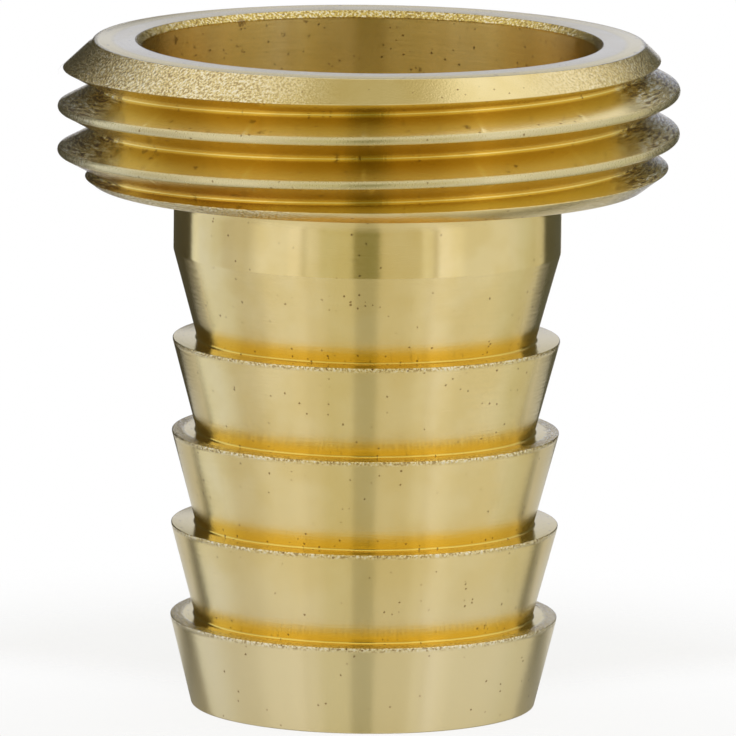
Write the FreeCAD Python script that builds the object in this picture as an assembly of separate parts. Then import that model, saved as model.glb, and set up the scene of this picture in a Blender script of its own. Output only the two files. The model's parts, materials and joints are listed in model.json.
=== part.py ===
import FreeCAD, Part

import math
import os

from FreeCAD import Vector

# Threaded hose connector, turned from one bar of brass.
# A short hollow collar carries an outside pipe thread, and below it a barbed tail
# takes the hose. The axis is Z. The tail's open end lies on Z = 0, where the connector
# stands, and the sealing face is at the top. All lengths are in millimetres.

# Collar
collar_height = 7.55
thread_diameter = 33.0
top_chamfer_width = 1.89
top_chamfer_height = 1.78
bottom_chamfer_width = 1.84
bottom_chamfer_height = 1.38

# Outside thread: 55 degree pipe form, right-hand, with narrow flat crests and a nearly sharp root
thread_pitch = 2.309
thread_depth = 1.75
thread_crest_flat = 0.32
thread_flank_angle = 27.5
# Where round the axis, counted from +X, the groove's middle passes the collar's underside
thread_start_angle = 94.1

# Tail, from the underside of the collar down to its open end
tail_length = 28.05
neck_diameter = 20.6
neck_land = 3.6
neck_blend = 0.8

# Barbs, numbered from the open end
barb_count = 4
barb_diameter = 20.6
barb_root_diameter = 18.0
barb_pitch = 4.97
first_barb_height = 4.79
barb_edge_land = 0.1
tip_diameter = 18.3

# Bore through the tail, and the wider counterbore inside the collar
bore_diameter = 15.5
bore_end_chamfer = 0.4
bore_mouth_chamfer = 0.5
counterbore_diameter = 24.12
counterbore_depth = 5.0
counterbore_mouth_chamfer = 0.32

node_name = "threaded_hose_connector"

total_height = tail_length + collar_height


def outline(corners):
    """Closed outline in the XZ plane through (radius, height) corners."""
    points = [Vector(radius, 0, height) for radius, height in corners]
    return Part.makePolygon(points + points[:1])


def barb_corners():
    """Saw-tooth side of the tail: each cone widens upwards and ends in a flat shoulder."""
    corners = [(tip_diameter / 2, 0)]
    for number in range(barb_count):
        shoulder = first_barb_height + number * barb_pitch
        corners.append((barb_diameter / 2, shoulder - barb_edge_land))
        corners.append((barb_diameter / 2, shoulder))
        corners.append((barb_root_diameter / 2, shoulder))
    return corners


def neck_corners():
    """Smooth neck above the last barb, widening into the underside of the collar."""
    radius = neck_diameter / 2
    return [
        (radius, tail_length - neck_land),
        (radius, tail_length - neck_blend),
        (radius + neck_blend, tail_length),
    ]


def collar_corners():
    """Collar blank, chamfered at both ends so that the thread runs out cleanly."""
    radius = thread_diameter / 2
    return [
        (radius - bottom_chamfer_width, tail_length),
        (radius, tail_length + bottom_chamfer_height),
        (radius, total_height - top_chamfer_height),
        (radius - top_chamfer_width, total_height),
    ]


def waterway_corners():
    """Inside walls, from the counterbore's mouth down to the tail's open end."""
    wide = counterbore_diameter / 2
    narrow = bore_diameter / 2
    floor = total_height - counterbore_depth
    return [
        (wide + counterbore_mouth_chamfer, total_height),
        (wide, total_height - counterbore_mouth_chamfer),
        (wide, floor),
        (narrow + bore_mouth_chamfer, floor),
        (narrow, floor - bore_mouth_chamfer),
        (narrow, bore_end_chamfer),
        (narrow + bore_end_chamfer, 0),
    ]


def turned_blank():
    """The whole connector before threading, revolved about the Z axis."""
    corners = barb_corners() + neck_corners() + collar_corners() + waterway_corners()
    section = Part.Face(outline(corners))
    return section.revolve(Vector(0, 0, 0), Vector(0, 0, 1), 360)


def groove_section():
    """Axial section of the thread groove, its middle on Z = 0 and its mouth outside the metal."""
    crest = thread_diameter / 2
    root = crest - thread_depth
    slope = math.tan(math.radians(thread_flank_angle))
    half_crest_opening = (thread_pitch - thread_crest_flat) / 2
    half_root = half_crest_opening - thread_depth * slope
    half_mouth = half_crest_opening + thread_crest_flat / 4
    mouth = crest + (half_mouth - half_crest_opening) / slope
    return outline([
        (root, -half_root),
        (root, half_root),
        (mouth, half_mouth),
        (mouth, -half_mouth),
    ])


def thread_groove():
    """Helical groove, from a whole turn below the collar to a whole turn above it."""
    sweep_height = collar_height + 2 * thread_pitch
    taper = 0
    helix = Part.makeLongHelix(thread_pitch, sweep_height, thread_diameter / 2, taper)
    sweep = Part.BRepOffsetAPI.MakePipeShell(Part.Wire(helix.Edges))
    sweep.setBiNormalMode(Vector(0, 0, 1))
    sweep.add(groove_section())
    sweep.build()
    sweep.makeSolid()
    groove = sweep.shape()
    groove.translate(Vector(0, 0, tail_length - thread_pitch))
    groove.rotate(Vector(0, 0, 0), Vector(0, 0, 1), thread_start_angle)
    return groove


connector = turned_blank().cut(thread_groove()).Solids[0]

os.makedirs("parts", exist_ok=True)
connector.exportStep("parts/" + node_name + ".step")

print(node_name, "valid:", connector.isValid(), "volume:", round(connector.Volume, 2))
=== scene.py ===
import json
import math
from types import SimpleNamespace

import bmesh
import bpy
from bpy.props import FloatProperty, FloatVectorProperty, IntProperty, PointerProperty
from bpy.types import NodeSocket, Operator, Panel, PropertyGroup
from mathutils import Matrix, Vector


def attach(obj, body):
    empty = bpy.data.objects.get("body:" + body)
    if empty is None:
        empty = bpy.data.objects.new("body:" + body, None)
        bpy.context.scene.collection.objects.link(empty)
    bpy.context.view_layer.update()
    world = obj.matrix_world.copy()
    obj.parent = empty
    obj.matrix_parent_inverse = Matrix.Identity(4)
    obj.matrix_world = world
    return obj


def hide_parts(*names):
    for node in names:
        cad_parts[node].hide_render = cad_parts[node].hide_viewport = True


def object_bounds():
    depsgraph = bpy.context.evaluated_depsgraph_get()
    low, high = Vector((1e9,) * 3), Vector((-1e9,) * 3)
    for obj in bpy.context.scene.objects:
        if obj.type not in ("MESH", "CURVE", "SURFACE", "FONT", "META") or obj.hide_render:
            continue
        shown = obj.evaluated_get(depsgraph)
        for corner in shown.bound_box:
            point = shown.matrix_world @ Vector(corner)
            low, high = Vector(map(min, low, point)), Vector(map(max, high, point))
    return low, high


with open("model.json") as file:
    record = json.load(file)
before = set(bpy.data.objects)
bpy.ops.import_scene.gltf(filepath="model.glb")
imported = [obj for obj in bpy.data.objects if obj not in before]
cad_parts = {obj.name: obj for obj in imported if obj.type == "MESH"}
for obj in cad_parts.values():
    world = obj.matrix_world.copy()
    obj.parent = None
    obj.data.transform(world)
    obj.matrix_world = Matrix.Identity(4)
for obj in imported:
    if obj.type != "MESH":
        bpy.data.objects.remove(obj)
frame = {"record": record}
cad_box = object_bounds()

bl_info = {
    "name": "Threaded Hose Connector",
    "version": (1, 0, 0),
    "blender": (4, 5, 0),
    "location": "View3D > Sidebar > Hose Connector",
    "description": "Turned brass hose connector with an outside pipe thread, in a light tent",
    "category": "Object",
}

NODE = "threaded_hose_connector"
MM = 0.001
PHOTO_WIDTH = 736
ON_LINE = 1e-4  # millimetres within which a point counts as on a line or plane
CUT_SLACK = 1e-5  # millimetres within which a cut uses a point that is there already
WELD = 0.002  # millimetres within which two rims are joined
SLIVER = 1e-6  # millimetres under which an edge is taken out
LEAST_FOLD = 0.1  # radians from which an edge counts as folded
MOUNTS = {mount["name"]: mount["dims"] for mount in frame["record"]["mounts"]}


class ConnectorSizes(PropertyGroup):
    """Sizes of the connector, as the real one measures."""

    total_height: FloatProperty(
        name="Total height",
        description="From the tail's open end to the sealing face",
        default=cad_box[1].z,
        unit="LENGTH",
        precision=5,
    )
    collar_height: FloatProperty(
        name="Collar height",
        description="From the collar's underside to the sealing face",
        default=MOUNTS["outside_thread"]["length_mm"] * MM,
        unit="LENGTH",
        precision=5,
    )
    thread_radius: FloatProperty(
        name="Thread radius",
        description="From the axis to the flat crests of the outside thread",
        default=MOUNTS["outside_thread"]["r_mm"] * MM,
        unit="LENGTH",
        precision=5,
    )
    thread_pitch: FloatProperty(
        name="Thread pitch",
        description="Rise of the thread in one turn",
        default=2.309 * MM,
        unit="LENGTH",
        precision=6,
    )
    thread_depth: FloatProperty(
        name="Thread depth",
        description="From the crests down to the round root of the groove",
        default=1.79 * MM,
        unit="LENGTH",
        precision=5,
    )
    thread_crest_flat: FloatProperty(
        name="Crest flat",
        description="Width of the flat crests, along the axis",
        default=0.32 * MM,
        unit="LENGTH",
        precision=5,
    )
    thread_flank_angle: FloatProperty(
        name="Flank angle",
        description="Angle of each flank, from a plane square to the axis",
        default=math.radians(27.5),
        unit="ROTATION",
    )
    thread_start_angle: FloatProperty(
        name="Thread start",
        description="Where round the axis the middle of the groove passes the collar's underside",
        default=math.radians(100),
        unit="ROTATION",
    )
    thread_crest_round: FloatProperty(
        name="Thread crest rounding",
        description="How far each edge of the crests is rounded back",
        default=0.15 * MM,
        unit="LENGTH",
        precision=6,
    )
    top_chamfer_width: FloatProperty(
        name="Top chamfer width",
        description="How far the chamfer at the sealing face reaches inwards",
        default=1.89 * MM,
        unit="LENGTH",
        precision=5,
    )
    top_chamfer_height: FloatProperty(
        name="Top chamfer height",
        description="How far the chamfer at the sealing face reaches down the collar",
        default=1.78 * MM,
        unit="LENGTH",
        precision=5,
    )
    bottom_chamfer_width: FloatProperty(
        name="Bottom chamfer width",
        description="How far the chamfer at the underside reaches inwards",
        default=1.84 * MM,
        unit="LENGTH",
        precision=5,
    )
    bottom_chamfer_height: FloatProperty(
        name="Bottom chamfer height",
        description="How far the chamfer at the underside reaches up the collar",
        default=1.38 * MM,
        unit="LENGTH",
        precision=5,
    )
    barb_radius: FloatProperty(
        name="Barb radius",
        description="From the axis to the edges of the barbs and to the neck",
        default=MOUNTS["hose_seat"]["r_mm"] * MM,
        unit="LENGTH",
        precision=5,
    )
    barb_root_radius: FloatProperty(
        name="Barb root radius",
        description="From the axis to the thin end of each barb's cone",
        default=9.0 * MM,
        unit="LENGTH",
        precision=5,
    )
    tip_radius: FloatProperty(
        name="Tip radius",
        description="Outside radius of the tail at its open end",
        default=9.15 * MM,
        unit="LENGTH",
        precision=5,
    )
    barb_count: IntProperty(
        name="Barbs",
        description="Number of barbs on the tail",
        default=4,
        min=1,
    )
    barb_pitch: FloatProperty(
        name="Barb pitch",
        description="From one barb's edge to the next one's",
        default=4.97 * MM,
        unit="LENGTH",
        precision=5,
    )
    first_barb_height: FloatProperty(
        name="First barb height",
        description="Height of the lowest barb's edge",
        default=4.79 * MM,
        unit="LENGTH",
        precision=5,
    )
    barb_edge_land: FloatProperty(
        name="Barb edge land",
        description="Width of the narrow cylinder at each barb's edge",
        default=0.1 * MM,
        unit="LENGTH",
        precision=6,
    )
    barb_root_round: FloatProperty(
        name="Barb root rounding",
        description="How far the corner at each barb's root is rounded back",
        default=0.14 * MM,
        unit="LENGTH",
        precision=6,
    )
    neck_land: FloatProperty(
        name="Neck land",
        description="Length of the cylinder below the collar",
        default=3.6 * MM,
        unit="LENGTH",
        precision=5,
    )
    neck_fillet: FloatProperty(
        name="Neck fillet",
        description="Radius between the neck and the collar's underside",
        default=1.2 * MM,
        unit="LENGTH",
        precision=5,
    )
    bore_radius: FloatProperty(
        name="Bore radius",
        description="Radius of the bore through the tail",
        default=MOUNTS["tail_bore"]["r_mm"] * MM,
        unit="LENGTH",
        precision=5,
    )
    bore_end_chamfer: FloatProperty(
        name="Bore end chamfer",
        description="Chamfer of the bore at the tail's open end",
        default=0.4 * MM,
        unit="LENGTH",
        precision=5,
    )
    bore_mouth_chamfer: FloatProperty(
        name="Bore mouth chamfer",
        description="Chamfer of the bore at the counterbore's floor",
        default=0.5 * MM,
        unit="LENGTH",
        precision=5,
    )
    counterbore_radius: FloatProperty(
        name="Counterbore radius",
        description="Radius of the wide bore inside the collar",
        default=MOUNTS["counterbore"]["r_mm"] * MM,
        unit="LENGTH",
        precision=5,
    )
    counterbore_depth: FloatProperty(
        name="Counterbore depth",
        description="From the sealing face down to the counterbore's floor",
        default=5.0 * MM,
        unit="LENGTH",
        precision=5,
    )
    counterbore_chamfer: FloatProperty(
        name="Counterbore chamfer",
        description="Chamfer of the counterbore at the sealing face",
        default=0.32 * MM,
        unit="LENGTH",
        precision=5,
    )
    tool_nose: FloatProperty(
        name="Tool nose",
        description="How far the counterbore's inner corner is rounded back",
        default=0.4 * MM,
        unit="LENGTH",
        precision=6,
    )
    edge_break: FloatProperty(
        name="Edge break",
        description="How far sharp edges are rounded back",
        default=0.045 * MM,
        unit="LENGTH",
        precision=6,
    )
    seam_radius: FloatProperty(
        name="Seam radius",
        description="Where the turned skin meets the collar's skin, on the two flat faces",
        default=13.4 * MM,
        unit="LENGTH",
        precision=5,
    )
    guides: IntProperty(
        name="Guides",
        description="Cuts round the thread that hold its long lines while its edges are broken",
        default=16,
        min=4,
    )
    columns: IntProperty(
        name="Columns",
        description="Number of faces once round the axis",
        default=256,
        min=24,
    )


class BrassFinish(PropertyGroup):
    """Colours and grain of the turned brass."""

    pale_brass: FloatVectorProperty(
        name="Pale brass",
        description="Lighter tone of the bare metal",
        default=(0.82, 0.67, 0.34),
        subtype="COLOR",
    )
    deep_brass: FloatVectorProperty(
        name="Deep brass",
        description="Warmer tone of the bare metal",
        default=(0.78, 0.62, 0.28),
        subtype="COLOR",
    )
    crest_brass: FloatVectorProperty(
        name="Crest brass",
        description="Paler tone of the thread's rubbed crests",
        default=(0.71, 0.61, 0.34),
        subtype="COLOR",
    )
    # In the groove this tone is partly tarnish and partly painted shade: it deepens the colour as
    # light bounced between the brass flanks would.
    amber_brass: FloatVectorProperty(
        name="Amber brass",
        description="Tarnished tone in the thread's groove and, less, in the bores",
        default=(0.71, 0.53, 0.14),
        subtype="COLOR",
    )
    # Painted light: a paler tone on the flanks that face up, near the crests, which paints the light
    # that they catch from the tent's roof.
    rubbed_brass: FloatVectorProperty(
        name="Rubbed brass",
        description="Paler tone of the flanks that face up, close to the crests",
        default=(0.84, 0.70, 0.38),
        subtype="COLOR",
    )
    # Painted reflection: a warm tone near each barb's root, which paints the warm light that the
    # cone and the shoulder reflect into each other.
    golden_brass: FloatVectorProperty(
        name="Golden brass",
        description="Warm tone of the metal close to each barb's root",
        default=(0.86, 0.63, 0.14),
        subtype="COLOR",
    )
    # Painted light: a paler tone towards the tail's open end, for the floor's light that the lowest
    # barbs reflect.
    tail_end_brass: FloatVectorProperty(
        name="Tail end brass",
        description="Paler tone towards the tail's open end",
        default=(0.81, 0.69, 0.41),
        subtype="COLOR",
    )
    # Painted highlight: a bright tone at the very bottom of the groove, which paints the thin bright
    # line that the root's round reflects.
    scraped_brass: FloatVectorProperty(
        name="Scraped brass",
        description="Bright tone at the very bottom of the groove",
        default=(0.91, 0.70, 0.22),
        subtype="COLOR",
    )
    stain_colour: FloatVectorProperty(
        name="Stain colour",
        description="Reddish brown tarnish low in the groove, on one side",
        default=(0.50, 0.30, 0.05),
        subtype="COLOR",
    )
    # Painted highlight: the pale grains of the grit are painted glints.
    glint_brass: FloatVectorProperty(
        name="Glint brass",
        description="Pale tone of the bright grains in the grit",
        default=(0.99, 0.95, 0.82),
        subtype="COLOR",
    )
    pit_colour: FloatVectorProperty(
        name="Pit colour",
        description="Colour of the small pits, the spots and the grit's dull grains",
        default=(0.20, 0.10, 0.03),
        subtype="COLOR",
    )
    ring_depth: FloatProperty(
        name="Ring depth",
        description="Depth of the fine rings that the turning tool leaves",
        default=0.008 * MM,
        unit="LENGTH",
        precision=6,
    )
    grain_depth: FloatProperty(
        name="Grain depth",
        description="Depth of the fine grain on the collar and on the barbs' edges",
        default=0.045 * MM,
        unit="LENGTH",
        precision=6,
    )


class StudioSettings(PropertyGroup):
    """Camera, floor and light tent."""

    camera_distance: FloatProperty(
        name="Camera distance",
        description="From the connector's axis to the camera, level",
        default=0.67815,
        unit="LENGTH",
    )
    camera_height: FloatProperty(
        name="Camera height",
        description="Height of the camera above the floor",
        default=0.12799,
        unit="LENGTH",
    )
    camera_pitch: FloatProperty(
        name="Camera pitch",
        description="How far the camera looks down",
        default=math.radians(9.2071),
        unit="ROTATION",
    )
    camera_yaw: FloatProperty(
        name="Camera yaw",
        description="How far the camera looks to the right of the axis",
        default=math.radians(0.00845),
        unit="ROTATION",
    )
    camera_roll: FloatProperty(
        name="Camera roll",
        description="How far the camera leans",
        default=math.radians(0.6246),
        unit="ROTATION",
    )
    focal_length_px: FloatProperty(
        name="Focal length in pixels",
        description="Focal length of the picture, in pixels of its 736 pixel width",
        default=12919.8,
    )
    floor_radius: FloatProperty(
        name="Floor radius",
        description="Radius of the pale floor",
        default=0.09,
        unit="LENGTH",
    )
    flag_distance: FloatProperty(
        name="Flag distance",
        description="How far behind the connector the dark flags stand on the floor",
        default=0.066,
        unit="LENGTH",
    )
    floor_colour: FloatVectorProperty(
        name="Floor colour",
        description="Colour of the pale floor",
        default=(0.98, 0.98, 0.98),
        subtype="COLOR",
    )
    floor_clearness: FloatProperty(
        name="Floor clearness",
        description="Share of the light that the opal floor lets through near the connector",
        default=0.45,
        subtype="FACTOR",
    )
    light_level: FloatProperty(
        name="Light level",
        description="Plain level of the tent's soft light",
        default=0.95,
        subtype="FACTOR",
    )


def in_millimetres(sizes):
    """The connector's sizes with every length in millimetres, to keep the digits of fine edges."""
    values = {}
    for item in sizes.bl_rna.properties:
        if item.identifier in ("rna_type", "name"):
            continue
        value = getattr(sizes, item.identifier)
        values[item.identifier] = value / MM if item.unit == "LENGTH" else value
    return SimpleNamespace(**values)


def round_off(bm, geom, setback, segments, affect="EDGES"):
    """Turn edges of the skin, or corners of a flat section, round."""
    bmesh.ops.bevel(
        bm,
        geom=geom,
        offset=setback,
        offset_type="OFFSET",
        segments=segments,
        profile=0.5,
        affect=affect,
        clamp_overlap=False,
        material=-1,
    )


def flat_section(bm, corners, place):
    """A flat face through corners of (radius, height, setback, segments), rounded where they say."""
    verts = [bm.verts.new(place(radius, height)) for radius, height, _, _ in corners]
    bm.faces.new(verts)
    for vert, (_, _, setback, segments) in zip(verts, corners):
        if setback > 0:
            round_off(bm, [vert], setback, segments, "VERTICES")


def tail_corners(s):
    """Outside of the tail, from the collar's underside down to the open end."""
    underside = s.total_height - s.collar_height
    corners = [
        (s.seam_radius, underside, 0, 0),
        (s.barb_radius, underside, s.neck_fillet, 8),
        (s.barb_radius, underside - s.neck_land, s.edge_break, 2),
    ]
    for number in reversed(range(s.barb_count)):
        shoulder = s.first_barb_height + number * s.barb_pitch
        corners.append((s.barb_root_radius, shoulder, s.barb_root_round, 6))
        corners.append((s.barb_radius, shoulder, s.edge_break, 3))
        corners.append((s.barb_radius, shoulder - s.barb_edge_land, s.edge_break, 1))
    corners.append((s.tip_radius, 0, s.edge_break * 2, 3))
    return corners


def waterway_corners(s):
    """Inside of the connector, from the tail's open end up to the sealing face."""
    floor = s.total_height - s.counterbore_depth
    wide = s.counterbore_radius
    narrow = s.bore_radius
    return [
        (narrow + s.bore_end_chamfer, 0, s.edge_break, 2),
        (narrow, s.bore_end_chamfer, s.edge_break, 2),
        (narrow, floor - s.bore_mouth_chamfer, s.edge_break, 2),
        (narrow + s.bore_mouth_chamfer, floor, s.edge_break, 2),
        (wide, floor, s.tool_nose, 6),
        (wide, s.total_height - s.counterbore_chamfer, s.edge_break, 3),
        (wide + s.counterbore_chamfer, s.total_height, s.edge_break, 3),
        (s.seam_radius, s.total_height, 0, 0),
    ]


def turn_the_skin(bm, s):
    """Spin the section of the tail and the bores round the axis."""
    corners = tail_corners(s) + waterway_corners(s)
    flat_section(bm, corners, lambda radius, height: Vector((radius, 0, height)))
    on_seam = [
        edge
        for edge in bm.edges
        if all(abs(vert.co.x - s.seam_radius) < ON_LINE for vert in edge.verts)
    ]
    bmesh.ops.delete(bm, geom=on_seam, context="EDGES")
    bmesh.ops.spin(
        bm,
        geom=bm.verts[:] + bm.edges[:],
        cent=(0, 0, 0),
        axis=(0, 0, 1),
        dvec=(0, 0, 0),
        angle=math.tau,
        steps=s.columns,
        use_merge=True,
        use_duplicate=False,
    )


def sharp_depth(s):
    """Depth at which the two flanks of the groove would meet."""
    half_opening = (s.thread_pitch - s.thread_crest_flat) / 2
    return half_opening / math.tan(s.thread_flank_angle)


def comb_corners(s):
    """Axial section of the thread as a comb, with teeth to spare above and below the collar."""
    underside = s.total_height - s.collar_height
    root = s.thread_radius - sharp_depth(s)
    root_radius = (sharp_depth(s) - s.thread_depth) / (1 / math.sin(s.thread_flank_angle) - 1)
    root_setback = root_radius / math.tan(s.thread_flank_angle)
    half_opening = (s.thread_pitch - s.thread_crest_flat) / 2
    spare = 3
    grooves = math.ceil(s.collar_height / s.thread_pitch) + 2 * spare
    lowest = underside - s.thread_pitch * (spare + s.thread_start_angle / math.tau)
    corners = [(s.seam_radius, lowest - s.thread_pitch / 2, 0, 0)]
    corners.append((s.thread_radius, lowest - s.thread_pitch / 2, 0, 0))
    for number in range(grooves):
        middle = lowest + number * s.thread_pitch
        corners.append((s.thread_radius, middle - half_opening, 0, 0))
        corners.append((root, middle, root_setback, 8))
        corners.append((s.thread_radius, middle + half_opening, 0, 0))
    highest = lowest + (grooves - 1) * s.thread_pitch
    corners.append((s.thread_radius, highest + s.thread_pitch / 2, 0, 0))
    corners.append((s.seam_radius, highest + s.thread_pitch / 2, 0, 0))
    return corners


def cut_away(bm, point, outward):
    """Cut away what lies outward of a plane."""
    geom = bm.verts[:] + bm.edges[:] + bm.faces[:]
    bmesh.ops.bisect_plane(
        bm, geom=geom, dist=CUT_SLACK, plane_co=point, plane_no=outward, clear_outer=True
    )


def trim(bm, point, outward):
    """Cut away what lies outward of a plane, and close the cut with one flat face."""
    cut_away(bm, point, outward)
    open_edges = [edge for edge in bm.edges if edge.is_boundary]
    bmesh.ops.holes_fill(bm, edges=open_edges, sides=0)


def cut_across(bm, places):
    """Cut the flat skin across at each of the places, which rise, and keep both sides."""
    for x in places:
        ahead = [face for face in bm.faces if max(vert.co.x for vert in face.verts) > x]
        geom = list({item for face in ahead for item in (*face.verts, *face.edges)}) + ahead
        bmesh.ops.bisect_plane(
            bm, geom=geom, dist=CUT_SLACK, plane_co=(x, 0, 0), plane_no=(1, 0, 0)
        )


def folds(bm):
    """Edges where the skin bends, apart from its open ends."""
    return [edge for edge in bm.edges if edge.calc_face_angle(0) > LEAST_FOLD]


def at_radius(edge, radius):
    """Whether an edge of the flat skin runs at one radius."""
    return all(abs(vert.co.y - radius) < ON_LINE for vert in edge.verts)


def lies_on(edge, planes):
    """Whether an edge lies in one of the planes, each a point and its normal."""
    for point, normal in planes:
        if all(abs((vert.co - point).dot(normal)) < ON_LINE for vert in edge.verts):
            return True
    return False


def thread_the_collar(bm, s):
    """Threaded skin of the collar, made flat and then rolled up round the axis.

    While it is flat, X is the way round, Y the radius and Z the height, so the helix is
    straight, both chamfers are planes, and the thread can be trimmed and its edges broken.
    One turn is drawn short, as three pitches, to keep the angles between the edges open.
    """
    turn = 3 * s.thread_pitch
    rise = s.thread_pitch / turn
    spare = turn / 4
    flat_section(bm, comb_corners(s), lambda radius, height: Vector((0, radius, height)))
    bmesh.ops.translate(bm, verts=bm.verts, vec=(-spare, 0, -spare * rise))
    length = turn + 2 * spare
    swept = bmesh.ops.extrude_face_region(bm, geom=bm.faces[:])
    moved = [item for item in swept["geom"] if isinstance(item, bmesh.types.BMVert)]
    bmesh.ops.translate(bm, verts=moved, vec=(length, 0, length * rise))
    bmesh.ops.recalc_face_normals(bm, faces=bm.faces)

    top = s.total_height
    underside = top - s.collar_height
    lower_rim = Vector((0, s.thread_radius - s.bottom_chamfer_width, underside))
    upper_rim = Vector((0, s.thread_radius - s.top_chamfer_width, top))
    planes = [
        (lower_rim, Vector((0, s.bottom_chamfer_height, -s.bottom_chamfer_width)).normalized()),
        (upper_rim, Vector((0, s.top_chamfer_height, s.top_chamfer_width)).normalized()),
        (Vector((0, 0, underside)), Vector((0, 0, -1))),
        (Vector((0, 0, top)), Vector((0, 0, 1))),
    ]
    for point, outward in planes:
        trim(bm, point, outward)

    behind = [
        face for face in bm.faces if all(at_radius(edge, s.seam_radius) for edge in face.edges)
    ]
    bmesh.ops.delete(bm, geom=behind, context="FACES")
    cut_across(bm, [turn * number / s.guides for number in range(-1, s.guides + 2)])
    crests = [
        edge
        for edge in folds(bm)
        if at_radius(edge, s.thread_radius) and not lies_on(edge, planes)
    ]
    round_off(bm, crests, s.thread_crest_round, 4)
    rims = [edge for edge in folds(bm) if lies_on(edge, planes)]
    round_off(bm, rims, s.edge_break, 2)

    # Rounding an edge can push a point off its guide. Back on it, the columns leave no sliver.
    off_guide = 0.7 * turn / s.columns
    for vert in bm.verts:
        guide = round(vert.co.x * s.guides / turn) * turn / s.guides
        if abs(vert.co.x - guide) < off_guide:
            vert.co.x = guide

    for x, outward in ((0, -1), (turn, 1)):
        cut_away(bm, (x, 0, 0), (outward, 0, 0))
    cut_across(bm, [turn * number / s.columns for number in range(1, s.columns)])

    for vert in bm.verts:
        angle = math.tau * vert.co.x / turn
        radius = vert.co.y
        vert.co = Vector((radius * math.cos(angle), radius * math.sin(angle), vert.co.z))


def connector_mesh(s):
    """The whole connector as one closed skin, in metres."""
    bm = bmesh.new()
    thread_the_collar(bm, s)
    collar = bpy.data.meshes.new("collar_skin")
    bm.to_mesh(collar)
    bm.free()

    bm = bmesh.new()
    turn_the_skin(bm, s)
    bm.from_mesh(collar)
    bpy.data.meshes.remove(collar)
    rim = [vert for vert in bm.verts if vert.is_boundary]
    bmesh.ops.remove_doubles(bm, verts=rim, dist=WELD)
    bmesh.ops.dissolve_degenerate(bm, edges=bm.edges, dist=SLIVER)
    bmesh.ops.recalc_face_normals(bm, faces=bm.faces)
    open_edges = sum(not edge.is_manifold for edge in bm.edges)
    if open_edges:
        raise RuntimeError("the connector's skin is open at %d edges" % open_edges)
    bmesh.ops.scale(bm, vec=(MM, MM, MM), verts=bm.verts)
    for face in bm.faces:
        face.smooth = True
    mesh = bpy.data.meshes.new("brass_connector")
    bm.to_mesh(mesh)
    bm.free()
    return mesh


def empty_tree(owner):
    """Emptied node tree of a material or a world."""
    owner.use_nodes = True
    owner.node_tree.nodes.clear()
    return owner.node_tree


def add_node(tree, kind, inputs=None, **settings):
    """A node with its settings, and its inputs by name or number, each a value or an output."""
    node = tree.nodes.new(kind)
    for name, value in settings.items():
        setattr(node, name, value)
    for key, value in (inputs or {}).items():
        if isinstance(value, NodeSocket):
            tree.links.new(value, node.inputs[key])
        else:
            node.inputs[key].default_value = value
    return node


def maths(tree, operation, *values):
    """Output of a Math node."""
    return add_node(tree, "ShaderNodeMath", dict(enumerate(values)), operation=operation).outputs[0]


def vector_maths(tree, operation, *values, output="Vector"):
    """Output of a Vector Math node."""
    node = add_node(tree, "ShaderNodeVectorMath", dict(enumerate(values)), operation=operation)
    return node.outputs[output]


def product(tree, first, *others):
    """Product of values."""
    for other in others:
        first = maths(tree, "MULTIPLY", first, other)
    return first


def largest(tree, first, *others):
    """Largest of values."""
    for other in others:
        first = maths(tree, "MAXIMUM", first, other)
    return first


def vector_part(tree, vector, axis):
    """One part of a vector."""
    return add_node(tree, "ShaderNodeSeparateXYZ", {0: vector}).outputs[axis]


def step(tree, value, start, end, low=0.0, high=1.0):
    """Smooth step of a value from low to high."""
    inputs = {"Value": value, "From Min": start, "From Max": end, "To Min": low, "To Max": high}
    node = add_node(tree, "ShaderNodeMapRange", inputs, interpolation_type="SMOOTHSTEP")
    return node.outputs["Result"]


def past(tree, value, size, border, low=0.0):
    """Smooth step of a value past a size, from low to 1, with its border given from the size."""
    return step(tree, value, size + border[0], size + border[1], low)


def rgba(colour):
    """A colour with full alpha."""
    return (*colour, 1.0)


def mix_colours(tree, factor, first, second):
    """Output of a colour mix, of colours or outputs."""
    node = add_node(tree, "ShaderNodeMix", {0: factor}, data_type="RGBA")
    for socket, colour in ((node.inputs[6], first), (node.inputs[7], second)):
        if isinstance(colour, NodeSocket):
            tree.links.new(colour, socket)
        else:
            socket.default_value = rgba(colour)
    return node.outputs[2]


def noise(tree, place, scale, detail):
    """Value of a noise texture."""
    inputs = {"Vector": place, "Scale": scale, "Detail": detail}
    return add_node(tree, "ShaderNodeTexNoise", inputs).outputs["Fac"]


def cells(tree, place, scale):
    """Distance to the middle of a random cell, and the cell's own random number."""
    inputs = {"Vector": place, "Scale": scale, "Randomness": 1.0}
    node = add_node(tree, "ShaderNodeTexVoronoi", inputs)
    number = add_node(tree, "ShaderNodeSeparateColor", {0: node.outputs["Color"]}).outputs[0]
    return node.outputs["Distance"], number


def bump(tree, height, depth, below=None):
    """Normal of a bump, on top of another one."""
    inputs = {"Height": height, "Distance": depth, "Strength": 1.0}
    if below:
        inputs["Normal"] = below
    return add_node(tree, "ShaderNodeBump", inputs).outputs["Normal"]


# Textures of the finish: features to a millimetre, and detail.
GRAIN = (9.0, 3.0)
CLOUD = (0.35, 3.0)
SPECKS = (11.0, 0.0)
GRIT = (7.5, 1.0)
RAGGED_BORDER = (3.5, 2.0)

# Rings of the turning tool: lines to a millimetre, their drift on the way round, and their detail.
RINGS = SimpleNamespace(lines=5.0, drift=6.0, detail=3.0)

# Contrast of the plain grit, and what it gains at the left and right ends of the groove, with its
# streaks to a radian. There the grit's dark and pale grains partly paint the shade and glints that
# the sides show.
LIMB_GRIT = SimpleNamespace(plain_contrast=0.55, contrast=0.35, streaks=19.0)

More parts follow.
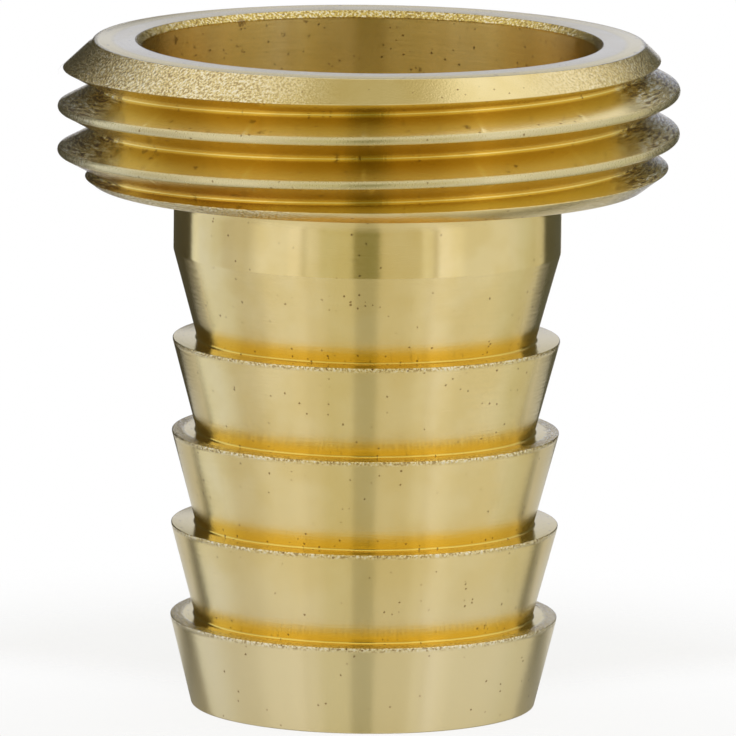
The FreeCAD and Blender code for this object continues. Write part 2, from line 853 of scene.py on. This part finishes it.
# Levels of the grit and cloud textures where a tone starts and is full. The patches of the stain
# also have their least and their most.
DULL_GRIT = (0.53, 0.62)
BRIGHT_GRIT = (0.46, 0.38)
CLOUD_TONES = (0.35, 0.65)
STAIN_PATCHES = (0.3, 0.6, 0.25, 0.75)

# Pits and soft spots: cells to a millimetre, what makes them likelier, how rare and how large they
# are, in cells, and how strongly they show.
PITS = SimpleNamespace(
    cells=2.6, clouds=0.8, wear=0.36, rarity=(1.22, 1.29), size=(0.30, 0.06), floor=0.4, strength=0.8
)
SPOTS = SimpleNamespace(
    cells=0.9, fray=0.35, size=(0.45, 0.10), border=(-0.02, 0.08), rarity=(0.48, 0.52), strength=0.6
)

# Borders of the places that the finish treats apart, in millimetres from the size that ends each:
# where its share is 0, and where it is 1.
BORDERS = SimpleNamespace(
    collar=(-2.2, -1.8),
    underside=(-0.15, 0.15),
    seam=(0.0, 0.5),
    groove=(0.04, 0.16),
    crests=(-0.2, -0.08),
    rubbed_and_sheen=(-1.4, -0.2),
    deepest=(0.055, 0.03),
    stain=(1.85, 0.95),
    glow=(1.25, 0.25),
    worn=(0.3, 0.1),
    cones=(0.5, 1.0),
    edges=(0.5, 0.8),
    bore=(0.7, 0.5),
    counterbore=(0.3, 0.1),
    chamfer=(-0.1, 0.0),
    rim=(0.06, 0.0),
    tail_end=(10.0, 3.0),
)

# Borders by how far a place lies to the right of the axis, as a sine, or how far it faces up.
# The grit borders below place the grit, with its painted shade and glints, at the left and right
# sides.
GRIT_LEFT = (-0.05, -0.5)
GRIT_RIGHT = (0.5, 0.8)
GRIT_ENDS = (0.84, 0.93)
LIMB_STREAK_ENDS = (0.80, 0.88)
STAIN_SIDE = (0.2, -0.7)
FLAT_FACES = (0.95, 0.99)
UPPER_FLANKS = (0.2, 0.5)

# Roughness of the plain metal, and what each place and the grain add to it.
ROUGHNESS = SimpleNamespace(plain=0.17, cut=-0.05, bores=0.03, crests=0.13, grain=0.06)


def where_on_connector(tree):
    """Where a place lies, in millimetres from the origin, its ways out and round, and its facing."""
    place = add_node(tree, "ShaderNodeTexCoord").outputs["Object"]
    place = vector_maths(tree, "MULTIPLY", place, (1 / MM, 1 / MM, 1 / MM))
    level = vector_maths(tree, "MULTIPLY", place, (1, 1, 0))
    outwards = vector_maths(tree, "NORMALIZE", level)
    normal = add_node(tree, "ShaderNodeNewGeometry").outputs["Normal"]
    return SimpleNamespace(
        place=place,
        height=vector_part(tree, place, "Z"),
        radius=vector_maths(tree, "LENGTH", level, output="Value"),
        outwards=outwards,
        around=vector_maths(tree, "CROSS_PRODUCT", (0, 0, 1), outwards),
        side=vector_part(tree, outwards, "X"),
        faces_up=vector_part(tree, normal, "Z"),
    )


def collar_share(tree, s, at):
    """Whether a place lies on the collar's outside, from 0 to 1."""
    outside = past(tree, at.radius, s.thread_radius, BORDERS.collar)
    underside = s.total_height - s.collar_height
    return product(tree, outside, past(tree, at.height, underside, BORDERS.underside))


def groove_share(tree, s, at):
    """How deep a place lies in the thread's groove, from 0 on the blank's outside to 1."""
    swing = 0.5
    swing_at_top = 0.3
    ragged = maths(tree, "MULTIPLY_ADD", noise(tree, at.place, *RAGGED_BORDER), swing, -swing / 2)
    below_face = maths(tree, "SUBTRACT", s.total_height, at.height)
    slope = s.top_chamfer_width / s.top_chamfer_height
    top = maths(tree, "MULTIPLY_ADD", below_face, slope, s.thread_radius - s.top_chamfer_width)
    top = maths(tree, "MULTIPLY_ADD", ragged, swing_at_top, top)
    above_underside = maths(tree, "SUBTRACT", s.collar_height, below_face)
    slope = s.bottom_chamfer_width / s.bottom_chamfer_height
    rim = s.thread_radius - s.bottom_chamfer_width
    bottom = maths(tree, "MULTIPLY_ADD", above_underside, slope, rim)
    bottom = maths(tree, "ADD", bottom, ragged)
    blank = maths(tree, "MINIMUM", maths(tree, "MINIMUM", top, bottom), s.thread_radius)
    depth = maths(tree, "SUBTRACT", blank, at.radius)
    outside = past(tree, at.radius, s.seam_radius, BORDERS.seam)
    return product(tree, step(tree, depth, *BORDERS.groove), outside)


def root_share(tree, s, at):
    """How near a place on a cone lies to the shoulder below it, from 0 to 1."""
    slack = 0.01
    neck_margin = 0.5
    above = maths(tree, "SUBTRACT", at.height, s.first_barb_height)
    on_barbs = maths(tree, "GREATER_THAN", above, -slack)
    above = maths(tree, "MODULO", maths(tree, "ADD", above, s.barb_pitch), s.barb_pitch)
    neck = s.total_height - s.collar_height - s.neck_land
    below_neck = maths(tree, "LESS_THAN", at.height, neck - neck_margin)
    outside = past(tree, at.radius, s.bore_radius, BORDERS.cones)
    return product(tree, step(tree, above, *BORDERS.glow), on_barbs, below_neck, outside)


def edge_share(tree, s, at):
    """How near a place lies to the edge of a barb, from 0 to 1."""
    slack = 0.02
    below = maths(tree, "SUBTRACT", s.first_barb_height, at.height)
    below = maths(tree, "ADD", below, s.barb_count * s.barb_pitch)
    below = maths(tree, "MODULO", below, s.barb_pitch)
    last = s.first_barb_height + (s.barb_count - 1) * s.barb_pitch
    on_barbs = maths(tree, "LESS_THAN", at.height, last + slack)
    outside = past(tree, at.radius, s.barb_root_radius, BORDERS.edges)
    return product(tree, step(tree, below, *BORDERS.worn), on_barbs, outside)


def bore_share(tree, s, at):
    """Whether a place lies in the counterbore or in the tail's bore, from 0 to 1."""
    floor_margin = 0.5
    lowest = s.total_height - s.counterbore_depth - floor_margin
    in_collar = maths(tree, "GREATER_THAN", at.height, lowest)
    wide = past(tree, at.radius, s.counterbore_radius, BORDERS.counterbore)
    narrow = past(tree, at.radius, s.bore_radius, BORDERS.bore)
    return largest(tree, product(tree, wide, in_collar), narrow)


def mouth_share(tree, s, at):
    """Whether a place lies on the counterbore's chamfer, from 0 to 1."""
    high = past(tree, at.height, s.total_height - s.counterbore_chamfer, BORDERS.chamfer)
    rim = s.counterbore_radius + s.counterbore_chamfer
    return product(tree, high, past(tree, at.radius, rim, BORDERS.rim))


def shares_of_places(tree, s, at):
    """How far a place belongs to each part of the connector that the finish treats apart."""
    collar = collar_share(tree, s, at)
    groove = groove_share(tree, s, at)
    crest = past(tree, at.radius, s.thread_radius, BORDERS.crests)
    edges = edge_share(tree, s, at)
    mouth = mouth_share(tree, s, at)
    from_axis = maths(tree, "ABSOLUTE", at.side)
    # Painted light: the grit sits mostly at the left and right sides, where its dark and pale grains
    # paint shade and glints; the grain under it is texture.
    right_strength = 0.6
    on_right = step(tree, at.side, *GRIT_RIGHT, 0.0, right_strength)
    sides = largest(tree, step(tree, at.side, *GRIT_LEFT), on_right)
    on_blank = maths(tree, "SUBTRACT", 1.0, largest(tree, groove, crest))
    side_grit = product(tree, collar, on_blank, sides)
    at_ends = product(tree, collar, step(tree, from_axis, *GRIT_ENDS))
    return SimpleNamespace(
        collar=collar,
        groove=groove,
        crest=crest,
        root=root_share(tree, s, at),
        edges=edges,
        bores=bore_share(tree, s, at),
        mouth=mouth,
        flats=step(tree, maths(tree, "ABSOLUTE", at.faces_up), *FLAT_FACES),
        limb_streaks=product(tree, step(tree, from_axis, *LIMB_STREAK_ENDS), groove),
        gritty=largest(tree, side_grit, at_ends, edges, mouth),
    )


def place_round_axis(tree, at, scale, upwards):
    """Place in a texture that runs round the axis, with features to a radian and a way up."""
    upwards = add_node(tree, "ShaderNodeCombineXYZ", {"Z": upwards}).outputs[0]
    return vector_maths(tree, "MULTIPLY_ADD", at.outwards, (scale, scale, scale), upwards)


def grit_texture(tree, at, limb_streak_share):
    """Grit, drawn out round the axis at the left and right ends of the groove, where its grains
    partly paint shade and glints.
    """
    scale, detail = GRIT
    plain = noise(tree, at.place, scale, detail)
    inputs = {
        "Vector": place_round_axis(tree, at, LIMB_GRIT.streaks, product(tree, at.height, scale)),
        "W": product(tree, at.radius, scale),
        "Scale": 1.0,
        "Detail": detail,
    }
    limb_streaks = add_node(tree, "ShaderNodeTexNoise", inputs, noise_dimensions="4D").outputs["Fac"]
    return maths(tree, "MULTIPLY_ADD", maths(tree, "SUBTRACT", limb_streaks, plain), limb_streak_share, plain)


def ring_texture(tree, at):
    """Fine rings round the axis, which drift a little on the way round."""
    lines = product(tree, maths(tree, "ADD", at.height, at.radius), RINGS.lines)
    return noise(tree, place_round_axis(tree, at, RINGS.drift, lines), 1.0, RINGS.detail)


def pit_share(tree, at, worn, cloud):
    """Small dark pits, most of them where the metal is worn."""
    distance, number = cells(tree, at.place, PITS.cells)
    likely = maths(tree, "MULTIPLY_ADD", cloud, PITS.clouds, product(tree, worn, PITS.wear))
    rare = step(tree, maths(tree, "ADD", number, likely), *PITS.rarity)
    size = maths(tree, "MULTIPLY_ADD", noise(tree, at.place, *SPECKS), *PITS.size)
    deep = step(tree, distance, size, product(tree, size, PITS.floor))
    return product(tree, deep, rare, PITS.strength)


def spot_share(tree, at, dirty, cloud, grit):
    """Soft brown spots with frayed borders, where the metal is dirty."""
    distance, number = cells(tree, at.place, SPOTS.cells)
    frayed = maths(tree, "MULTIPLY_ADD", grit, SPOTS.fray, distance)
    spread = maths(tree, "MULTIPLY_ADD", cloud, *SPOTS.size)
    near = step(tree, maths(tree, "SUBTRACT", spread, frayed), *SPOTS.border)
    return product(tree, near, step(tree, number, *SPOTS.rarity), dirty, SPOTS.strength)


def metal_tones(tree, finish, s, at, on, cloud):
    """Colour of the metal in its places, before grit and pits."""
    clouds = step(tree, cloud, *CLOUD_TONES)
    metal = mix_colours(tree, clouds, finish.pale_brass, finish.deep_brass)

    # Painted light: flanks that face up, near the crests, take a paler tone as if lit from the roof.
    near_crest = past(tree, at.radius, s.thread_radius, BORDERS.rubbed_and_sheen)
    rubbed_and_sheen = product(tree, step(tree, at.faces_up, *UPPER_FLANKS), near_crest)
    # The groove's amber is partly tarnish and partly painted shade, for the light bounced between
    # its flanks.
    groove_tone = mix_colours(tree, rubbed_and_sheen, finish.amber_brass, finish.rubbed_brass)

    low = past(tree, at.height, s.total_height - s.collar_height, BORDERS.stain)
    patchy = step(tree, cloud, *STAIN_PATCHES)
    stained = product(tree, low, step(tree, at.side, *STAIN_SIDE), patchy, on.groove)

    # Painted highlight: the very bottom of the groove takes a bright tone for the root's thin bright
    # line.
    deepest = past(tree, at.radius, s.thread_radius - s.thread_depth, BORDERS.deepest)
    deepest = product(tree, deepest, on.groove)

    bore_tarnish = 0.4
    mouth_tarnish = 0.8
    tones = [
        (product(tree, on.bores, bore_tarnish), finish.amber_brass),
        (on.crest, finish.crest_brass),
        # Painted light: paler towards the floor, for the floor's light in the lowest barbs.
        (step(tree, at.height, *BORDERS.tail_end), finish.tail_end_brass),
        (on.groove, groove_tone),
        (stained, finish.stain_colour),
        (deepest, finish.scraped_brass),
        # Painted reflection: warm bounce light near each barb's root.
        (on.root, finish.golden_brass),
        (product(tree, on.mouth, mouth_tarnish), finish.amber_brass),
    ]
    for share, tone in tones:
        metal = mix_colours(tree, share, metal, tone)
    return metal


def turned_brass(finish, s):
    """Brass as it comes off the lathe: fine rings round the axis, a little grain and a few pits."""
    material = bpy.data.materials.new("turned_brass")
    tree = empty_tree(material)
    at = where_on_connector(tree)
    on = shares_of_places(tree, s, at)
    grain = noise(tree, at.place, *GRAIN)
    cloud = noise(tree, at.place, *CLOUD)
    grit = grit_texture(tree, at, on.limb_streaks)

    metal = metal_tones(tree, finish, s, at, on, cloud)
    contrast = maths(tree, "MULTIPLY_ADD", on.limb_streaks, LIMB_GRIT.contrast, LIMB_GRIT.plain_contrast)
    contrast = product(tree, contrast, on.gritty)
    dull = product(tree, step(tree, grit, *DULL_GRIT), contrast)
    metal = mix_colours(tree, dull, metal, finish.pit_colour)
    # Painted highlight: the grit's bright grains take a pale tone as glints.
    bright = product(tree, step(tree, grit, *BRIGHT_GRIT), contrast)
    metal = mix_colours(tree, bright, metal, finish.glint_brass)
    pits = pit_share(tree, at, largest(tree, on.root, on.edges, on.bores), cloud)
    spots = spot_share(tree, at, largest(tree, on.groove, on.bores), cloud, grit)
    colour = mix_colours(tree, largest(tree, pits, spots), metal, finish.pit_colour)

    rings_off_collar = 0.8
    grain_on_collar = 0.15
    smooth = maths(tree, "SUBTRACT", 1.0, product(tree, on.collar, rings_off_collar))
    normal = bump(tree, product(tree, ring_texture(tree, at), smooth), finish.ring_depth)
    rough_places = largest(tree, on.gritty, product(tree, on.collar, grain_on_collar))
    normal = bump(tree, product(tree, grain, rough_places), finish.grain_depth, normal)

    roughness = ROUGHNESS.plain
    for share, change in (
        (largest(tree, on.collar, on.flats), ROUGHNESS.cut),
        (on.bores, ROUGHNESS.bores),
        (product(tree, on.crest, on.collar), ROUGHNESS.crests),
        (grain, ROUGHNESS.grain),
    ):
        roughness = maths(tree, "MULTIPLY_ADD", share, change, roughness)
    shader = add_node(
        tree,
        "ShaderNodeBsdfPrincipled",
        {
            "Base Color": colour,
            "Metallic": 1.0,
            "Roughness": roughness,
            "Anisotropic": 1.0,
            "Anisotropic Rotation": 0.25,
            "Tangent": at.around,
            "Normal": normal,
        },
    )
    add_node(tree, "ShaderNodeOutputMaterial", {"Surface": shader.outputs[0]})
    return material


# The opal floor, in metres. In front its clear share grows away from a point on the camera's side,
# and behind the sheet ends where the flags stand. The border between the two slants at the sides.
# The camera sees the sheet only near the connector, mostly as white.
FLOOR = SimpleNamespace(
    front_point=(0, -0.032, 0),
    front_clears=(0.021, 0.06),
    clearness_behind=0.15,
    end=(-0.004, 0.004),
    slant=-0.6,
    behind=(-0.006, 0.006),
    seen_near=(0.018, 0.045),
    white_for_camera=0.7,
    white_in_reflections=0.05,
)


def pale_floor(studio):
    """Pale opal sheet that takes the connector's shadow and clears away from it."""
    material = bpy.data.materials.new("pale_floor")
    tree = empty_tree(material)
    place = add_node(tree, "ShaderNodeTexCoord").outputs["Object"]
    from_axis = vector_maths(tree, "LENGTH", place, output="Value")
    from_front = vector_maths(tree, "DISTANCE", place, FLOOR.front_point, output="Value")
    in_front = step(tree, from_front, *FLOOR.front_clears, studio.floor_clearness)
    behind = past(tree, from_axis, studio.flag_distance, FLOOR.end, FLOOR.clearness_behind)
    sideways = maths(tree, "ABSOLUTE", vector_part(tree, place, "X"))
    slanted = maths(tree, "MULTIPLY_ADD", sideways, FLOOR.slant, vector_part(tree, place, "Y"))
    is_behind = step(tree, slanted, *FLOOR.behind)
    more_behind = maths(tree, "SUBTRACT", behind, in_front)
    clear = maths(tree, "MULTIPLY_ADD", is_behind, more_behind, in_front)
    rays = add_node(tree, "ShaderNodeLightPath").outputs
    away = product(tree, step(tree, from_axis, *FLOOR.seen_near), rays["Is Camera Ray"])
    clear = largest(tree, clear, away)
    reflected = largest(tree, rays["Is Glossy Ray"], rays["Is Transmission Ray"])
    seen_white = product(tree, rays["Is Camera Ray"], FLOOR.white_for_camera)
    white_share = largest(tree, seen_white, product(tree, reflected, FLOOR.white_in_reflections))
    sheet = add_node(tree, "ShaderNodeBsdfDiffuse", {"Color": rgba(studio.floor_colour)}).outputs[0]
    white = add_node(tree, "ShaderNodeEmission", {"Color": (1, 1, 1, 1), "Strength": 1.0}).outputs[0]
    sheet = add_node(tree, "ShaderNodeMixShader", {0: white_share, 1: sheet, 2: white}).outputs[0]
    through = add_node(tree, "ShaderNodeBsdfTransparent").outputs[0]
    surface = add_node(tree, "ShaderNodeMixShader", {0: clear, 1: sheet, 2: through}).outputs[0]
    add_node(tree, "ShaderNodeOutputMaterial", {"Surface": surface})
    return material


# Walls of the light tent, left and right, as (from, to, colour). The angles go round from the
# camera's side, in degrees and positive to the right. Between the white walls lie the slit that
# the camera looks through and the two dark flags that give the connector its outline.
TENT_LEFT = [
    (-180, -130, (0.07, 0.065, 0.045)),
    (-128, -123, (0.90, 0.95, 1.0)),
    (-119, -108, (0.79, 0.84, 0.97)),
    (-104, -100, (0.73, 0.76, 0.80)),
    (-95, -89, (0.63, 0.62, 0.59)),
    (-85, -76, (0.67, 0.66, 0.63)),
    (-67, -49, (0.92, 0.92, 0.92)),
    (-47, -41.5, (0.99, 0.98, 0.98)),
    (-39, -37.5, (0.70, 0.68, 0.60)),
    (-36, -34, (0.85, 0.84, 0.77)),
    (-31, -30, (0.79, 0.77, 0.67)),
    (-27, -9.5, (0.67, 0.65, 0.46)),
    (-7, 0, (0.275, 0.265, 0.12)),
]
TENT_RIGHT = [
    (0, 6, (0.27, 0.265, 0.115)),
    (9, 32, (0.67, 0.63, 0.46)),
    (34, 39, (0.88, 0.87, 0.78)),
    (40.5, 42, (0.66, 0.63, 0.54)),
    (44, 50, (1.05, 1.06, 1.15)),
    (53, 57, (0.98, 0.98, 0.97)),
    (62, 92, (0.83, 0.83, 0.79)),
    (95, 100, (0.80, 0.81, 0.80)),
    (103, 106, (0.73, 0.745, 0.69)),
    (109, 112, (0.70, 0.71, 0.62)),
    (116, 118, (0.65, 0.64, 0.52)),
    (122, 128.5, (0.70, 0.69, 0.58)),
    (132, 180, (0.105, 0.105, 0.075)),
]

# What covers the walls at the back: the gap between the two flags, the left flag's foot, the white
# table under them and the strip over the right flag. Each has its colour and its borders, as (axis,
# outside, inside). X to the right and Y to the back are parts of the direction, Z is degrees up.
COVERS = [
    ((0.66, 0.715, 0.91), (("X", -0.105, -0.07), ("X", 0.13, 0.09), ("Y", 0, 0.001), ("Z", 25, 18))),
    ((0.07, 0.065, 0.045), (("X", -0.01, -0.03), ("Y", 0.97, 0.98), ("Z", 6, 3))),
    ((1.15, 1.15, 1.2), (("X", -0.08, -0.05), ("X", 0.24, 0.2), ("Y", 0.97, 0.98), ("Z", -2, -4))),
    ((0.66, 0.65, 0.60), (("X", 0.3, 0.5), ("Y", 0.2, 0.5), ("Z", 16, 24))),
]

# The roof: its halves, brighter high up on the right, and the dim vent at its top.
ROOF_FROM = ("Z", 30, 34)
ROOF_HALVES = ("X", -0.6, 0.6)
ROOF_HIGH = ("Z", 50, 60)
ROOF_VENT_FROM = ("Z", 70, 79)
ROOF_LEFT = (0.92, 0.92, 0.90)
ROOF_RIGHT_LOW = (0.95, 0.95, 0.93)
ROOF_RIGHT = (1.10, 1.12, 1.14)
ROOF_VENT = (0.50, 0.46, 0.28)


def wall_colours(tree, round_angle, walls):
    """Colours of one half of the tent's walls, by the angle round from the camera's side."""
    stops = [(math.radians(angle), colour) for start, end, colour in walls for angle in (start, end)]
    first = stops[0][0]
    share = maths(tree, "MULTIPLY_ADD", round_angle, 1 / math.pi, -first / math.pi)
    node = add_node(tree, "ShaderNodeValToRGB", {0: share})
    ramp = node.color_ramp
    for stop, (angle, colour) in zip(ramp.elements, (stops[0], stops[-1])):
        stop.position = (angle - first) / math.pi
        stop.color = rgba(colour)
    for angle, colour in stops[1:-1]:
        ramp.elements.new((angle - first) / math.pi).color = rgba(colour)
    return node.outputs["Color"]


def inside_border(tree, parts, axis, start, end):
    """Share of a direction inside a border, which is given in degrees up along Z."""
    if axis == "Z":
        start, end = (math.sin(math.radians(angle)) for angle in (start, end))
    return step(tree, parts[axis], start, end)


def light_tent(world, studio):
    """White light tent all round, plain white where the camera sees it."""
    tree = empty_tree(world)
    way = add_node(tree, "ShaderNodeTexCoord").outputs["Generated"]
    parts = add_node(tree, "ShaderNodeSeparateXYZ", {0: way}).outputs
    towards_camera = product(tree, parts["Y"], -1.0)
    round_angle = maths(tree, "ARCTAN2", parts["X"], towards_camera)
    on_right = maths(tree, "GREATER_THAN", parts["X"], 0.0)
    left_walls = wall_colours(tree, round_angle, TENT_LEFT)
    right_walls = wall_colours(tree, round_angle, TENT_RIGHT)
    lining = mix_colours(tree, on_right, left_walls, right_walls)
    for colour, borders in COVERS:
        share = product(tree, *(inside_border(tree, parts, *border) for border in borders))
        lining = mix_colours(tree, share, lining, colour)

    is_roof, to_right, high, vent = (
        inside_border(tree, parts, *border)
        for border in (ROOF_FROM, ROOF_HALVES, ROOF_HIGH, ROOF_VENT_FROM)
    )
    right = mix_colours(tree, high, ROOF_RIGHT_LOW, ROOF_RIGHT)
    roof = mix_colours(tree, to_right, ROOF_LEFT, right)
    roof = mix_colours(tree, vent, roof, ROOF_VENT)
    tent = mix_colours(tree, is_roof, lining, roof)
    rays = add_node(tree, "ShaderNodeLightPath").outputs
    colour = mix_colours(tree, rays["Is Camera Ray"], tent, (1, 1, 1))
    seen = largest(tree, rays["Is Camera Ray"], rays["Is Glossy Ray"], rays["Is Transmission Ray"])
    strength = maths(tree, "MULTIPLY_ADD", seen, 1.0 - studio.light_level, studio.light_level)
    inputs = {"Color": colour, "Strength": strength}
    background = add_node(tree, "ShaderNodeBackground", inputs).outputs[0]
    add_node(tree, "ShaderNodeOutputWorld", {"Surface": background})


class OBJECT_OT_turn_hose_connector(Operator):
    """Model the brass connector and give it its finish"""

    bl_idname = "object.turn_hose_connector"
    bl_label = "Turn Hose Connector"

    def execute(self, context):
        settings = context.scene
        sizes = in_millimetres(settings.connector_sizes)
        mesh = connector_mesh(sizes)
        mesh.materials.append(turned_brass(settings.brass_finish, sizes))
        connector = bpy.data.objects.new("brass_connector", mesh)
        context.scene.collection.objects.link(connector)
        even = connector.modifiers.new("even_shading", "WEIGHTED_NORMAL")
        even.mode = "FACE_AREA"
        even.weight = 50
        even.keep_sharp = True
        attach(connector, "root")
        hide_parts(NODE)
        return {"FINISHED"}


class SCENE_OT_set_connector_stage(Operator):
    """Set up the pale floor, the light tent and the camera"""

    bl_idname = "scene.set_connector_stage"
    bl_label = "Set Connector Stage"

    def execute(self, context):
        studio = context.scene.connector_studio
        bm = bmesh.new()
        bmesh.ops.create_circle(bm, cap_ends=True, radius=studio.floor_radius, segments=96)
        bmesh.ops.translate(bm, verts=bm.verts, vec=(0, 0, cad_box[0].z))
        mesh = bpy.data.meshes.new("floor")
        bm.to_mesh(mesh)
        bm.free()
        mesh.materials.append(pale_floor(studio))
        floor = bpy.data.objects.new("floor", mesh)
        context.scene.collection.objects.link(floor)

        world = bpy.data.worlds.new("light_tent")
        context.scene.world = world
        light_tent(world, studio)

        lens = bpy.data.cameras.new("camera")
        lens.sensor_width = 36
        lens.lens = studio.focal_length_px * lens.sensor_width / PHOTO_WIDTH
        lens.clip_start = 0.05
        camera = bpy.data.objects.new("camera", lens)
        context.scene.collection.objects.link(camera)
        turn = Matrix.Rotation(-studio.camera_yaw, 4, "Z")
        tilt = Matrix.Rotation(math.pi / 2 - studio.camera_pitch, 4, "X")
        lean = Matrix.Rotation(studio.camera_roll, 4, "Z")
        place = Matrix.Translation((0, -studio.camera_distance, studio.camera_height))
        camera.matrix_world = place @ turn @ tilt @ lean
        context.scene.camera = camera
        context.scene.view_settings.view_transform = "Standard"
        return {"FINISHED"}


class VIEW3D_PT_hose_connector(Panel):
    """Buttons for the connector and its stage"""

    bl_idname = "VIEW3D_PT_hose_connector"
    bl_label = "Hose Connector"
    bl_space_type = "VIEW_3D"
    bl_region_type = "UI"
    bl_category = "Hose Connector"

    def draw(self, context):
        layout = self.layout
        layout.operator(OBJECT_OT_turn_hose_connector.bl_idname)
        layout.operator(SCENE_OT_set_connector_stage.bl_idname)
        for group in SETTINGS:
            box = layout.box()
            settings = getattr(context.scene, group)
            for name in settings.__annotations__:
                box.prop(settings, name)


SETTINGS = {
    "connector_sizes": ConnectorSizes,
    "brass_finish": BrassFinish,
    "connector_studio": StudioSettings,
}
CLASSES = (
    *SETTINGS.values(),
    OBJECT_OT_turn_hose_connector,
    SCENE_OT_set_connector_stage,
    VIEW3D_PT_hose_connector,
)


def register():
    for item in CLASSES:
        bpy.utils.register_class(item)
    for name, group in SETTINGS.items():
        setattr(bpy.types.Scene, name, PointerProperty(type=group))


def unregister():
    for name in SETTINGS:
        delattr(bpy.types.Scene, name)
    for item in reversed(CLASSES):
        bpy.utils.unregister_class(item)


def main():
    register()
    bpy.ops.object.turn_hose_connector()
    bpy.ops.scene.set_connector_stage()


if __name__ == "__main__":
    main()
